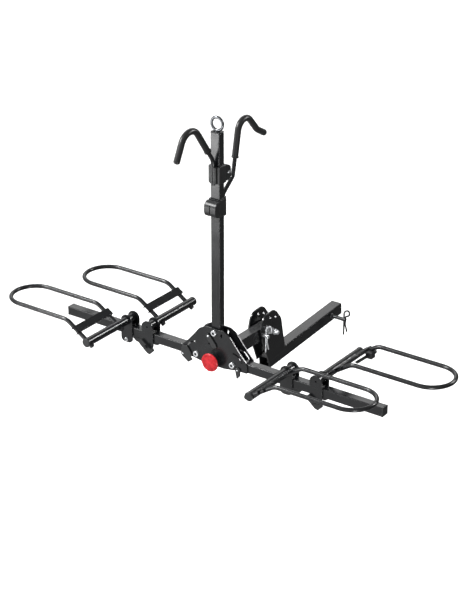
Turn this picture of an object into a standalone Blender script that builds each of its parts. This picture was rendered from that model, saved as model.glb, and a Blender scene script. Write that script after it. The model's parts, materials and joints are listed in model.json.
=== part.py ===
"""Hitch mounted platform bike rack: two folding arms, a folding mast and four sliding wheel hoops.

The origin is the centre of the hitch pin's hole. +Y points along the shank towards the vehicle,
+Z up, and +X along the rack's right arm. Platform sizes are measured from the point in the middle
of the arms, on their top face, which at() turns into world coordinates.
"""

import math

import bmesh
import bpy
from mathutils import Matrix, Vector

MM = 0.001
FIT = 0.3 * MM  # gap between pieces that seat on each other

# Shank and its two ears
SHANK = 50.8 * MM
SHANK_WALL = 4 * MM
SHANK_LENGTH = 539 * MM
SHANK_RISE = math.radians(4.28)
PIN_HOLE_FROM_END = 76 * MM
HITCH_PIN = 15.9 * MM
HITCH_PIN_REACH = 95 * MM
EAR_THICK = 6 * MM
EAR_OVERLAP = 10 * MM

# Where the platform sits, seen from the hitch pin
PLATFORM_BACK = 777 * MM
PLATFORM_RISE = 137 * MM
PLATFORM = Vector((0, -PLATFORM_BACK, PLATFORM_RISE))

# Tilting base
BASE_WIDTH = 45 * MM
BASE_HEIGHT = 58 * MM
BASE_MIDDLE = -22 * MM
BASE_WALL = 3 * MM
TILT_Y = 302 * MM
TILT_Z = -13 * MM
UPPER_HOLE = (310 * MM, 38 * MM)
REAR_HOLE = (348 * MM, 28 * MM)
TILT_BOLT = 16 * MM
LOCK_PIN = 12.3 * MM
LOCK_Y = 262 * MM
LOCK_Z = -22 * MM

# Folding arms and the bracket that holds them
ARM = 38.1 * MM
ARM_WALL = 2.5 * MM
ARM_REACH = {"left": 746 * MM, "right": 758 * MM}
ARM_PIVOT_X = 86 * MM
ARM_PIVOT_Z = -20 * MM
ARM_INNER = 60 * MM
PLATE_THICK = 5 * MM
PLATE_IN = ARM / 2 + 0.6 * MM
BOLT = 12 * MM
BOLT_HEAD = 24 * MM
BOLT_HEAD_THICK = 8 * MM
SLOT_RADIUS = 50 * MM

# Mast, eye bolt and hook sliders
MAST_WIDTH = 42 * MM
MAST_DEPTH = 31 * MM
MAST_WALL = 2.5 * MM
MAST_PIVOT_Z = 93 * MM
MAST_FOOT = 30 * MM
MAST_TOP = 903 * MM
CAP_THICK = 4 * MM
EYE_RADIUS = 24.5 * MM
EYE_WIRE = 8.5 * MM
EYE_Z = MAST_TOP + 35 * MM
SLIDER_WALL = 6 * MM
SLIDER_FIT = 0.5 * MM
HOOK_ROD = 16 * MM
HOOK_GRIP = 26 * MM
FRONT_HOOK_OUT = 27 * MM
REAR_HOOK_OUT = 34 * MM
SLIDER_HEIGHT = 67 * MM
FRONT_SLIDER_LOW = 708 * MM
REAR_SLIDER_LOW = 576 * MM
CHEEK_PAST = 3 * MM
CHEEK_SIDES = 10 * MM
RELEASE_WIDTH = 52 * MM
RELEASE_HEIGHT = 62 * MM
RELEASE_DEPTH = 28.5 * MM
RELEASE_PIN = 4 * MM
RELEASE_GROOVE = 4 * MM
# Hook corners: out from the mast's middle, up from the arms' top faces, and bend radius, in mm.
FRONT_HOOK_CORNERS = [(-27, 704, 0), (-27, 800, 50), (-175, 1006, 57), (-246, 861, 0)]
REAR_HOOK_CORNERS = [
    (34, 572, 0),
    (34, 648, 25),
    (98, 700, 30),
    (148, 960, 45),
    (254, 841, 40),
    (300, 815, 0),
]

# Wheel holders
TUBE = 35 * MM
TUBE_WALL = 2.5 * MM
TUBE_AXIS = 25 * MM
SADDLE_WIDTH = 56 * MM
SADDLE_IN = ARM / 2 + 0.45 * MM
SADDLE_THICK = 6 * MM
SADDLE_TOP = 49 * MM
SADDLE_FOOT = -70 * MM
BRIDGE = 5 * MM
CLAMP_BOLT = 8 * MM
CLAMP_Z = -57 * MM
HOOP_ROD = 16 * MM
HOOP_RISE = 68 * MM
HOOP_RUN = 105 * MM
HOOP_TAIL = 30 * MM
TREAD_WIDTH = 32 * MM
TREAD_THICK = 4 * MM

# Each holder: its middle along the arm, the way its hoop points, its side of the arm, the tube's
# far end, its two rods' distances from the arm's middle, and the tip of its hoop.
HOLDERS = {
    "left_front": (-434.5, -1, -1, 277, 77, 262, -890),
    "left_rear": (-330, -1, 1, 281, 57, 245, -776),
    "right_front": (335, 1, -1, 271, 77, 256, 813),
    "right_rear": (469, 1, 1, 290, 57, 245, 957),
}

STEEL = {"color": (0.020, 0.021, 0.023), "roughness": 0.42, "metallic": 0.0}
CHROME = {"color": (0.62, 0.63, 0.65), "roughness": 0.15, "metallic": 1.0}
RUBBER = {"color": (0.012, 0.012, 0.013), "roughness": 0.75, "metallic": 0.0}
PLASTIC = {"color": (0.014, 0.014, 0.016), "roughness": 0.55, "metallic": 0.0}
RED_LENS = {"color": (0.60, 0.02, 0.02), "roughness": 0.25, "metallic": 0.0}

# Flat pieces are drawn in X and Y and then turned to face one of these ways.
FACING = {
    "front": Matrix.Rotation(math.radians(90), 4, "X"),
    "side": Matrix(((0, 0, 1, 0), (1, 0, 0, 0), (0, 1, 0, 0), (0, 0, 0, 1))),
    "back": Matrix.Rotation(math.radians(-90), 4, "X"),
    "up": Matrix.Identity(4),
}

PARTS = {}


def clear_scene():
    for obj in list(bpy.data.objects):
        bpy.data.objects.remove(obj, do_unlink=True)


def new_collection(name, hidden=False):
    made = bpy.data.collections.new(name)
    made.hide_render = hidden
    bpy.context.scene.collection.children.link(made)
    return made


def new_material(name, color, roughness, metallic):
    made = bpy.data.materials.new(name)
    made.use_nodes = True
    made.diffuse_color = (*color, 1)
    shader = made.node_tree.nodes["Principled BSDF"]
    shader.inputs["Base Color"].default_value = (*color, 1)
    shader.inputs["Roughness"].default_value = roughness
    shader.inputs["Metallic"].default_value = metallic
    return made


def at(x, y, z):
    """A platform position, in metres from the middle of the arms' top face, as a world position."""
    return Vector((x, y, z)) + PLATFORM


def fillet(corner, before, after, radius, steps):
    """Points of the arc that rounds a corner between the ways to its two neighbours."""
    before = before.normalized()
    after = after.normalized()
    half = before.angle(after) / 2
    centre = corner + (before + after).normalized() * radius / math.sin(half)
    first = corner + before * radius / math.tan(half) - centre
    last = corner + after * radius / math.tan(half) - centre
    sweep = first.angle(last)
    points = []
    for step in range(steps + 1):
        share = step / steps
        turned_arm = first * math.sin((1 - share) * sweep) + last * math.sin(share * sweep)
        points.append(centre + turned_arm / math.sin(sweep))
    return points


def rounded(corners, steps=4):
    """A closed outline from corners (x, y, corner radius)."""
    points = []
    for index, (x, y, radius) in enumerate(corners):
        here = Vector((x, y))
        before = Vector(corners[index - 1][:2]) - here
        after = Vector(corners[(index + 1) % len(corners)][:2]) - here
        points += fillet(here, before, after, radius, steps) if radius else [here]
    return points


def bent(corners, steps=4):
    """An open path in space from corners (x, y, z, bend radius), ends included."""
    spots = [Vector(corner[:3]) for corner in corners]
    points = [spots[0]]
    for before, here, after, corner in zip(spots, spots[1:], spots[2:], corners[1:]):
        points += fillet(here, before - here, after - here, corner[3], steps)
    return points + [spots[-1]]


def circle(x, y, radius, steps=16):
    turn = 2 * math.pi / steps
    return [Vector((x + radius * math.cos(turn * n), y + radius * math.sin(turn * n))) for n in range(steps)]


def rectangle(width, height, radius, steps=2):
    w, h = width / 2, height / 2
    return rounded([(-w, -h, radius), (w, -h, radius), (w, h, radius), (-w, h, radius)], steps)


def slot(x, y, reach, width, lean=0):
    """A straight slot with round ends, its long way turned by lean from +X."""
    ends = []
    for side in (1, -1):
        for step in range(5):
            angle = lean + math.pi * (step / 4 - 0.5) + (0 if side > 0 else math.pi)
            middle = Vector((x, y)) + side * reach / 2 * Vector((math.cos(lean), math.sin(lean)))
            ends.append(middle + width / 2 * Vector((math.cos(angle), math.sin(angle))))
    return ends


def arc_slot(x, y, radius, first, last, width, steps=6):
    """A curved slot round (x, y), from one angle in degrees to another."""
    outer, inner = [], []
    for step in range(steps + 1):
        angle = math.radians(first + (last - first) * step / steps)
        way = Vector((math.cos(angle), math.sin(angle)))
        outer.append(Vector((x, y)) + way * (radius + width / 2))
        inner.append(Vector((x, y)) + way * (radius - width / 2))
    return outer + inner[::-1]


def mirrored(points):
    return [Vector((-point.x, point.y)) for point in points]


def keep(obj, material=None, axis=None, collection="parts"):
    """Links an object, gives it its material and hangs it on the empty of its joint."""
    PARTS[collection].objects.link(obj)
    if material:
        obj.data.materials.append(PARTS[material])
    if axis:
        bpy.context.view_layer.update()
        obj.parent = axis
        obj.matrix_parent_inverse = axis.matrix_world.inverted()
    return obj


def joint_axis(name, spot, parent=None):
    axis = bpy.data.objects.new(name, None)
    axis.empty_display_size = 0.03
    axis.location = spot
    return keep(axis, axis=parent)


def flat_piece(name, outlines, thick, spot, facing, **placed):
    """A flat outline, with holes in it, given a thickness: plates, washers and square tube."""
    curve = bpy.data.curves.new(name, "CURVE")
    curve.dimensions = "2D"
    curve.fill_mode = "BOTH"
    curve.extrude = thick / 2
    for outline in outlines:
        spline = curve.splines.new("POLY")
        spline.points.add(len(outline) - 1)
        spline.use_cyclic_u = True
        for place, point in zip(spline.points, outline):
            place.co = (point.x, point.y, 0, 1)
    obj = bpy.data.objects.new(name, curve)
    obj.matrix_world = Matrix.Translation(spot) @ FACING[facing]
    return keep(obj, **placed)


def rod(name, points, diameter, sides=2, **placed):
    """A round bar that follows a path."""
    curve = bpy.data.curves.new(name, "CURVE")
    curve.dimensions = "3D"
    curve.bevel_depth = diameter / 2
    curve.bevel_resolution = sides
    curve.use_fill_caps = True
    spline = curve.splines.new("POLY")
    spline.points.add(len(points) - 1)
    for place, point in zip(spline.points, points):
        place.co = (*point, 1)
    spline.use_smooth = True
    return keep(bpy.data.objects.new(name, curve), **placed)


def turned(name, profile, spot, facing, ring=False, steps=16, **placed):
    """A turned piece from (radius, height) points, listed from its top down its outer side."""
    mesh = bpy.data.meshes.new(name)
    edges = [(n, n + 1) for n in range(len(profile) - 1)]
    if ring:
        edges.append((len(profile) - 1, 0))
    mesh.from_pydata([(radius, 0, height) for radius, height in profile], edges, [])
    obj = bpy.data.objects.new(name, mesh)
    obj.matrix_world = Matrix.Translation(spot) @ FACING[facing]
    screw = obj.modifiers.new("turn", "SCREW")
    screw.axis = "Z"
    screw.steps = steps
    screw.render_steps = steps
    screw.use_merge_vertices = True
    screw.merge_threshold = 0.00001
    screw.use_smooth_shade = True
    return keep(obj, **placed)


def box(name, size, spot, turn=None, **placed):
    mesh = bpy.data.meshes.new(name)
    shape = bmesh.new()
    bmesh.ops.create_cube(shape, size=1)
    bmesh.ops.scale(shape, vec=size, verts=shape.verts)
    shape.to_mesh(mesh)
    shape.free()
    obj = bpy.data.objects.new(name, mesh)
    obj.matrix_world = Matrix.Translation(spot) @ (turn or Matrix.Identity(4))
    return keep(obj, **placed)


def drill(name, diameter, length, spot, way, steps=12):
    """A round cutter whose axis points along way."""
    mesh = bpy.data.meshes.new(name)
    shape = bmesh.new()
    bmesh.ops.create_cone(
        shape, cap_ends=True, segments=steps, radius1=diameter / 2, radius2=diameter / 2, depth=length
    )
    shape.to_mesh(mesh)
    shape.free()
    obj = bpy.data.objects.new(name, mesh)
    obj.display_type = "WIRE"
    obj.hide_render = True
    turn = Vector(way).to_track_quat("Z", "Y").to_matrix().to_4x4()
    obj.matrix_world = Matrix.Translation(spot) @ turn
    return keep(obj, collection="cutters")


def as_mesh(obj):
    """The same object as a mesh, with the loose ends of its curve welded."""
    bpy.context.view_layer.update()
    evaluated = obj.evaluated_get(bpy.context.evaluated_depsgraph_get())
    mesh = bpy.data.meshes.new_from_object(evaluated)
    shape = bmesh.new()
    shape.from_mesh(mesh)
    bmesh.ops.remove_doubles(shape, verts=shape.verts, dist=0.00001)
    shape.to_mesh(mesh)
    shape.free()
    name, parent, place, home = obj.name, obj.parent, obj.matrix_world.copy(), obj.users_collection[0]
    bpy.data.objects.remove(obj, do_unlink=True)
    made = bpy.data.objects.new(name, mesh)
    home.objects.link(made)
    made.parent = parent
    if parent:
        made.matrix_parent_inverse = parent.matrix_world.inverted()
    made.matrix_world = place
    mesh.shade_smooth()
    mesh.set_sharp_from_angle(angle=math.radians(35))
    return made


def combine(obj, others, operation):
    """Cuts the other solids away from an object, or joins them to it."""
    bpy.context.view_layer.update()
    for other in others:
        step = obj.modifiers.new(operation.lower() + "_" + other.name, "BOOLEAN")
        step.operation = operation
        step.object = other
        other.hide_render = True
        other.display_type = "WIRE"
        if other.name not in PARTS["cutters"].objects:
            PARTS["parts"].objects.unlink(other)
            PARTS["cutters"].objects.link(other)
    return obj


def cut(obj, cutters):
    return combine(obj, cutters, "DIFFERENCE")


def join(obj, others):
    return combine(obj, others, "UNION")


def bolt(name, head, head_thick, shaft, length, spot, facing, nut=0, **placed):
    """A round headed bolt: its head's seat is at spot, and its shaft runs away from the head.

    With a nut length, the far end carries a nut as wide as the head, its seat at length minus nut.
    """
    chamfer = 1.2 * MM
    profile = [
        (0, head_thick),
        (head / 2 - chamfer, head_thick),
        (head / 2, head_thick - chamfer),
        (head / 2, 0),
        (shaft / 2, 0),
    ]
    if nut:
        profile += [(shaft / 2, nut - length), (head * 0.42, nut - length), (head * 0.42, -length)]
    else:
        profile += [(shaft / 2, -length)]
    profile += [(0, -length)]
    return turned(name, profile, spot, facing, **placed)


def nut(name, bore, width, thick, spot, facing, **placed):
    """A flanged nut, its flange's seat at spot."""
    inner = bore / 2 + FIT
    profile = [
        (width * 0.4, thick),
        (width * 0.4, thick * 0.25),
        (width / 2, thick * 0.2),
        (width / 2, 0),
        (inner, 0),
        (inner, thick),
    ]
    return turned(name, profile, spot, facing, ring=True, **placed)


def r_clip(name, pin, centre, **placed):
    """A spring clip in the Y-Z plane: one leg through the pin, the other round its far side."""
    wire = 3.4 * MM
    x, y, z = centre
    side = pin / 2 + wire / 2 + FIT
    loop = 9 * MM
    path = bent(
        [
            (x, y, z - 70 * MM, 0),
            (x, y, z + 34 * MM, loop),
            (x, y + 2 * loop, z + 34 * MM, loop),
            (x, y + 1.9 * loop, z + 12 * MM, 4 * MM),
            (x, y + side, z + 5 * MM, 4 * MM),
            (x, y + side, z - 6 * MM, 4 * MM),
            (x, y + 1.6 * wire, z - 22 * MM, 8 * MM),
            (x, y + 3.2 * wire, z - 66 * MM, 0),
        ],
        steps=3,
    )
    return rod(name, path, wire, sides=1, **placed)


def ear_outline():
    """The ear's side view, from the platform's datum; its foot lies along the shank's side."""
    near, far = 303 * MM, 421 * MM

    def foot(y):
        top = SHANK / 2 / math.cos(SHANK_RISE) + (y - PLATFORM_BACK) * math.tan(SHANK_RISE)
        return top - PLATFORM_RISE - EAR_OVERLAP

    return rounded(
        [
            (near, foot(near), 0),
            (276 * MM, -91 * MM, 20 * MM),
            (243 * MM, -2 * MM, 30 * MM),
            (262 * MM, 59 * MM, 38 * MM),
            (343 * MM, 64 * MM, 42 * MM),
            (388 * MM, 8 * MM, 40 * MM),
            (far, foot(far), 0),
        ],
        steps=3,
    )


def make_hitch():
    """The fixed body: shank, ears, pivot bolt and the two pins with their clips."""
    middle = PIN_HOLE_FROM_END - SHANK_LENGTH / 2
    along = Vector((0, math.cos(SHANK_RISE), math.sin(SHANK_RISE)))
    outer = rectangle(SHANK, SHANK, 5 * MM)
    inner = rectangle(SHANK - 2 * SHANK_WALL, SHANK - 2 * SHANK_WALL, 2 * MM)
    shank = flat_piece("shank", [outer, inner], SHANK_LENGTH, (0, 0, 0), "back", material="steel")
    shank.matrix_world = (
        Matrix.Translation(along * middle) @ Matrix.Rotation(SHANK_RISE, 4, "X") @ FACING["back"]
    )
    shank = as_mesh(shank)
    cut(shank, [drill("pin_hole", HITCH_PIN + 2 * FIT, 2 * SHANK, (0, 0, 0), (1, 0, 0))])
    holes = [
        circle(TILT_Y, TILT_Z, TILT_BOLT / 2 + FIT, 16),
        circle(LOCK_Y, LOCK_Z, LOCK_PIN / 2 + FIT, 12),
        circle(*UPPER_HOLE, 6.5 * MM, 12),
        circle(*REAR_HOLE, 6.5 * MM, 12),
    ]
    ear_middle = SHANK / 2 + FIT + EAR_THICK / 2
    for name, side in (("ear_left", -1), ("ear_right", 1)):
        spot = at(side * ear_middle, 0, 0)
        flat_piece(name, [ear_outline()] + holes, EAR_THICK, spot, "side", material="steel")
    ear_face = SHANK / 2 + FIT + EAR_THICK + FIT
    pivot = at(0, TILT_Y, TILT_Z)
    bolt_left = bolt(
        "pivot_bolt", 28 * MM, 10 * MM, TILT_BOLT, 2 * ear_face + 45 * MM, pivot, "side", material="chrome"
    )
    bolt_left.matrix_world = (
        Matrix.Translation(pivot - Vector((ear_face, 0, 0))) @ Matrix.Rotation(math.radians(-90), 4, "Y")
    )
    nut("pivot_nut", TILT_BOLT, 34 * MM, 15 * MM, pivot + Vector((ear_face, 0, 0)), "side", material="chrome")
    lock_seat = pivot + Vector((ear_face + 28 * MM, 0, 0))
    nut("pivot_lock_nut", TILT_BOLT, 26 * MM, 11 * MM, lock_seat, "side", material="chrome")
    make_pins(ear_face)


def make_pins(ear_face):
    """The hitch pin and the tilt lock pin, each with the spring clip across its free end."""
    shank_side = SHANK / 2 + FIT
    pin_length = HITCH_PIN_REACH + shank_side
    hitch_pin = bolt(
        "hitch_pin", 26 * MM, 9 * MM, HITCH_PIN, pin_length, (0, 0, 0), "side", material="steel"
    )
    hitch_pin.matrix_world = (
        Matrix.Translation((-shank_side, 0, 0)) @ Matrix.Rotation(math.radians(-90), 4, "Y")
    )
    clip_x = HITCH_PIN_REACH - 9 * MM
    clip_hole = 3.4 * MM + 2 * FIT
    cut(hitch_pin, [drill("hitch_clip_hole", clip_hole, 2 * HITCH_PIN, (clip_x, 0, 0), (0, 0, 1), 12)])
    r_clip("hitch_pin_clip", HITCH_PIN, (clip_x, 0, 0), material="chrome")
    tip = ear_face + 22 * MM
    inside = BASE_WIDTH / 2 + FIT
    lock_pin = bolt(
        "tilt_pin",
        LOCK_PIN + 4 * MM,
        3 * MM,
        LOCK_PIN,
        tip - inside,
        at(tip, LOCK_Y, LOCK_Z),
        "side",
        material="chrome",
    )
    clip_spot = at(ear_face + 12 * MM, LOCK_Y, LOCK_Z)
    cut(lock_pin, [drill("tilt_clip_hole", clip_hole, 2 * LOCK_PIN, clip_spot, (0, 0, 1), 12)])
    r_clip("tilt_pin_clip", LOCK_PIN, clip_spot, material="chrome")


def bracket_outline():
    right = [
        (43, 110, 22),
        (73, 94, 20),
        (102, 58, 30),
        (131, 25, 20),
        (152, 5, 6),
        (156, -38, 4),
        (104, -39, 20),
        (48, -48, 20),
    ]
    corners = right + [(-x, z, radius) for x, z, radius in right[::-1]]
    return rounded([(x * MM, z * MM, radius * MM) for x, z, radius in corners], steps=2)


def make_base(tilt):
    """The tilting base: rear box arm, two bracket plates, bolts, reflector and mast lock lever."""
    arm_start = PLATE_IN + PLATE_THICK + FIT
    arm_end = TILT_Y + 36 * MM
    outer = rectangle(BASE_WIDTH, BASE_HEIGHT, 4 * MM)
    inner = rectangle(BASE_WIDTH - 2 * BASE_WALL, BASE_HEIGHT - 2 * BASE_WALL, 1.5 * MM)
    middle = at(0, (arm_start + arm_end) / 2, BASE_MIDDLE)
    base_arm = flat_piece(
        "base_arm", [outer, inner], arm_end - arm_start, middle, "back", material="steel", axis=tilt
    )
    base_arm = as_mesh(base_arm)
    bore = TILT_BOLT + 2 * FIT
    cut(base_arm, [drill("tilt_bore", bore, 2 * BASE_WIDTH, at(0, TILT_Y, TILT_Z), (1, 0, 0), 16)])
    fold_bore = BOLT / 2 + FIT
    slot_right = arc_slot(ARM_PIVOT_X, ARM_PIVOT_Z, SLOT_RADIUS, 22, 88, 7 * MM)
    holes = [
        circle(0, MAST_PIVOT_Z, fold_bore, 12),
        circle(ARM_PIVOT_X, ARM_PIVOT_Z, fold_bore, 12),
        circle(-ARM_PIVOT_X, ARM_PIVOT_Z, fold_bore, 12),
        slot_right,
        mirrored(slot_right),
        slot(33 * MM, 88 * MM, 10 * MM, 8 * MM, math.radians(80)),
        circle(-25 * MM, 40 * MM, 4 * MM, 12),
    ]
    plate_middle = PLATE_IN + PLATE_THICK / 2
    for name, side in (("bracket_front", -1), ("bracket_rear", 1)):
        flat_piece(
            name,
            [bracket_outline()] + holes,
            PLATE_THICK,
            at(0, side * plate_middle, 0),
            "front",
            material="steel",
            axis=tilt,
        )
    face = PLATE_IN + PLATE_THICK + FIT
    for name, x, z in (
        ("mast_bolt", 0, MAST_PIVOT_Z),
        ("left_arm_bolt", -ARM_PIVOT_X, ARM_PIVOT_Z),
        ("right_arm_bolt", ARM_PIVOT_X, ARM_PIVOT_Z),
    ):
        bolt(
            name,
            BOLT_HEAD,
            BOLT_HEAD_THICK,
            BOLT,
            2 * face + 10 * MM,
            at(x, -face, z),
            "front",
            nut=10 * MM,
            material="chrome",
            axis=tilt,
        )
    make_reflector(face, tilt)


def make_reflector(face, tilt):
    depth = 27 * MM
    housing = [(0, depth), (33 * MM, depth), (35 * MM, depth - 4 * MM), (30 * MM, 4 * MM), (30 * MM, 0), (0, 0)]
    spot = at(0, -face, BASE_MIDDLE)
    turned("reflector_housing", housing, spot, "front", steps=24, material="plastic", axis=tilt)
    lens = [(0, 9.5 * MM), (20 * MM, 9 * MM), (34 * MM, 7 * MM), (37.5 * MM, 4 * MM), (37.5 * MM, 0), (0, 0)]
    lens_spot = at(0, -face - depth - FIT, BASE_MIDDLE)
    turned("reflector_lens", lens, lens_spot, "front", steps=24, material="red_lens", axis=tilt)


def make_levers(tilt):
    """The mast's lock lever and one fold lock lever under each arm's end of the bracket."""
    face = PLATE_IN + PLATE_THICK + FIT
    thick = 6 * MM
    y = -face - thick / 2
    lean = math.radians(-50)
    pivot = at(-27 * MM, y, 74 * MM)
    axis = joint_axis("mast_lock_axis", pivot, tilt)
    bar = slot(23 * MM * math.cos(lean), 23 * MM * math.sin(lean), 46 * MM, 22 * MM, lean)
    flat_piece("mast_lock_lever", [bar], thick, pivot, "front", material="plastic", axis=axis)
    left = rounded(
        [
            (-5 * MM, 34 * MM, 8 * MM),
            (22 * MM, 40 * MM, 6 * MM),
            (44 * MM, 10 * MM, 5 * MM),
            (39 * MM, -7 * MM, 3 * MM),
            (48 * MM, -14 * MM, 2 * MM),
            (27 * MM, -30 * MM, 4 * MM),
            (-8 * MM, -6 * MM, 8 * MM),
        ],
        steps=2,
    )
    right = rounded(
        [
            (-11 * MM, 11 * MM, 8 * MM),
            (13 * MM, 11 * MM, 8 * MM),
            (13 * MM, -21 * MM, 2 * MM),
            (-2 * MM, -38 * MM, 2 * MM),
            (-8 * MM, -10 * MM, 5 * MM),
        ],
        steps=2,
    )
    levers = (("left_arm_lever", left, -150 * MM, -36 * MM), ("right_arm_lever", right, 112 * MM, -34 * MM))
    for name, outline, x, z in levers:
        spot = at(x, y, z)
        axis = joint_axis(name + "_axis", spot, tilt)
        flat_piece(name, [outline], thick, spot, "front", material="plastic", axis=axis)


def make_mast(fold):
    foot = MAST_PIVOT_Z - MAST_FOOT
    outer = rectangle(MAST_WIDTH, MAST_DEPTH, 3.5 * MM)
    inner = rectangle(MAST_WIDTH - 2 * MAST_WALL, MAST_DEPTH - 2 * MAST_WALL, 1.5 * MM)
    middle = at(0, 0, (foot + MAST_TOP) / 2)
    mast = flat_piece("mast", [outer, inner], MAST_TOP - foot, middle, "up", material="steel", axis=fold)
    mast = as_mesh(mast)
    cut(mast, [drill("mast_bore", BOLT + 2 * FIT, 2 * MAST_DEPTH, at(0, 0, MAST_PIVOT_Z), (0, 1, 0))])
    shank = 10 * MM
    cap_middle = MAST_TOP + FIT + CAP_THICK / 2
    flat_piece(
        "mast_cap",
        [rectangle(MAST_WIDTH, MAST_DEPTH, 3.5 * MM), circle(0, 0, shank / 2 + FIT, 16)],
        CAP_THICK,
        at(0, 0, cap_middle),
        "up",
        material="plastic",
        axis=fold,
    )
    make_eye_bolt(shank, fold)


def make_eye_bolt(shank, fold):
    """A lifting eye: a ring welded on a collar whose shank goes down through the mast's cap."""
    seat = MAST_TOP + FIT + CAP_THICK + FIT
    collar = 7 * MM
    bottom = EYE_Z - EYE_RADIUS
    top = bottom + EYE_WIRE / 4 - seat
    profile = [
        (0, top),
        (shank / 2, top),
        (shank / 2, collar),
        (9 * MM, collar),
        (9 * MM, 0),
        (shank / 2, 0),
        (shank / 2, -24 * MM),
        (0, -24 * MM),
    ]
    eye_bolt = turned("eye_bolt", profile, at(0, 0, seat), "up", steps=16, material="chrome", axis=fold)
    turn = Matrix.Rotation(math.radians(90), 4, "X")
    mesh = bpy.data.meshes.new("eye_ring")
    shape = bmesh.new()
    bmesh.ops.create_circle(shape, segments=8, radius=EYE_WIRE / 2, matrix=turn)
    bmesh.ops.translate(shape, verts=shape.verts, vec=(EYE_RADIUS, 0, 0))
    geometry = shape.verts[:] + shape.edges[:]
    bmesh.ops.spin(
        shape, geom=geometry, cent=(0, 0, 0), axis=(0, 0, 1), angle=2 * math.pi, steps=20, use_merge=True
    )
    bmesh.ops.remove_doubles(shape, verts=shape.verts, dist=0.00001)
    bmesh.ops.recalc_face_normals(shape, faces=shape.faces)
    shape.to_mesh(mesh)
    shape.free()
    ring = bpy.data.objects.new("eye_ring", mesh)
    ring.matrix_world = Matrix.Translation(at(0, 0, EYE_Z)) @ turn
    keep(ring, collection="cutters")
    join(eye_bolt, [ring])


def make_slider(name, hook_y, low, height, axis):
    """A sleeve round the mast with two cheeks that hold the hook's rod on one side of it."""
    inner_x = MAST_WIDTH + 2 * SLIDER_FIT
    inner_y = MAST_DEPTH + 2 * SLIDER_FIT
    outer_x = inner_x + 2 * SLIDER_WALL
    outer_y = inner_y + 2 * SLIDER_WALL
    middle = low + height / 2
    sleeve = flat_piece(
        name,
        [rectangle(outer_x, outer_y, 5 * MM), rectangle(inner_x, inner_y, 2 * MM)],
        height,
        at(0, 0, middle),
        "up",
        material="plastic",
        axis=axis,
    )
    sleeve = as_mesh(sleeve)
    cheek_out = abs(hook_y) + CHEEK_PAST
    cheek_root = inner_y / 2 + 1 * MM
    cheek_y = math.copysign((cheek_out + cheek_root) / 2, hook_y)
    block = box(
        name + "_cheeks",
        (HOOK_ROD + CHEEK_SIDES, cheek_out - cheek_root, height - 1 * MM),
        at(0, cheek_y, middle),
        collection="cutters",
    )
    bore = HOOK_ROD + 2 * FIT
    socket = drill(name + "_socket", bore, 2 * height, at(0, hook_y, middle), (0, 0, 1), 16)
    join(sleeve, [block])
    cut(sleeve, [socket])


def make_hook(name, corners, grip_from, slider_axis):
    """A bent rod in the Y-Z plane, with a rubber sleeve over its outer stretch."""
    path = [point + PLATFORM for point in bent([(0, y * MM, z * MM, r * MM) for y, z, r in corners], 4)]
    rod(name, path, HOOK_ROD, material="steel", axis=slider_axis)
    end = path[-1] + (path[-1] - path[-2]).normalized() * 6 * MM
    covered = [point for point in path[:-1] if (point - path[0]).length > grip_from * MM]
    curve = bpy.data.curves.new(name + "_grip", "CURVE")
    curve.dimensions = "3D"
    curve.bevel_depth = HOOK_ROD / 2 + FIT
    curve.bevel_resolution = 2
    spline = curve.splines.new("POLY")
    spline.points.add(len(covered))
    for place, point in zip(spline.points, covered + [end]):
        place.co = (*point, 1)
    grip = bpy.data.objects.new(name + "_grip", curve)
    keep(grip, material="rubber", axis=slider_axis)
    grip = as_mesh(grip)
    wall = grip.modifiers.new("wall", "SOLIDIFY")
    wall.thickness = (HOOK_GRIP - HOOK_ROD) / 2 - FIT
    wall.offset = 1
    return grip


def make_release(name, side, middle, slider_axis):
    """The D-shaped push release of a slider, in two cheeks, hung on a pin at its top back edge."""
    back = MAST_DEPTH / 2 + SLIDER_FIT + SLIDER_WALL + FIT
    half = RELEASE_HEIGHT / 2
    pin = at(0, side * (back + RELEASE_PIN), middle + half - RELEASE_PIN)
    outline = rounded(
        [
            (0, -half, RELEASE_PIN),
            (RELEASE_DEPTH, -half, 0.8 * RELEASE_DEPTH),
            (RELEASE_DEPTH, half, 0.8 * RELEASE_DEPTH),
            (0, half, RELEASE_PIN),
        ],
        6,
    )
    outline = [Vector((side * point.x, point.y)) for point in outline]
    spot = at(0, side * back, middle)
    axis = joint_axis(name + "_axis", pin, slider_axis)
    release = flat_piece(name, [outline], RELEASE_WIDTH, spot, "side", material="plastic", axis=axis)
    release = as_mesh(release)
    groove = box(
        name + "_groove",
        (RELEASE_GROOVE, RELEASE_GROOVE, RELEASE_HEIGHT),
        at(0, side * (back + RELEASE_DEPTH - RELEASE_GROOVE / 2 + FIT), middle),
        collection="cutters",
    )
    cut(release, [groove])


def make_hooks(fold):
    front_middle = FRONT_SLIDER_LOW + SLIDER_HEIGHT / 2
    front = joint_axis("front_slide_axis", at(0, 0, front_middle), fold)
    make_slider("front_slider", -FRONT_HOOK_OUT, FRONT_SLIDER_LOW, SLIDER_HEIGHT, front)
    make_hook("front_hook", FRONT_HOOK_CORNERS, 150, front)
    make_release("front_release", 1, front_middle, front)
    rear_middle = REAR_SLIDER_LOW + SLIDER_HEIGHT / 2
    rear = joint_axis("rear_slide_axis", at(0, 0, rear_middle), fold)
    make_slider("rear_slider", REAR_HOOK_OUT, REAR_SLIDER_LOW, SLIDER_HEIGHT, rear)
    make_hook("rear_hook", REAR_HOOK_CORNERS, 200, rear)
    make_release("rear_release", -1, rear_middle, rear)


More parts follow.
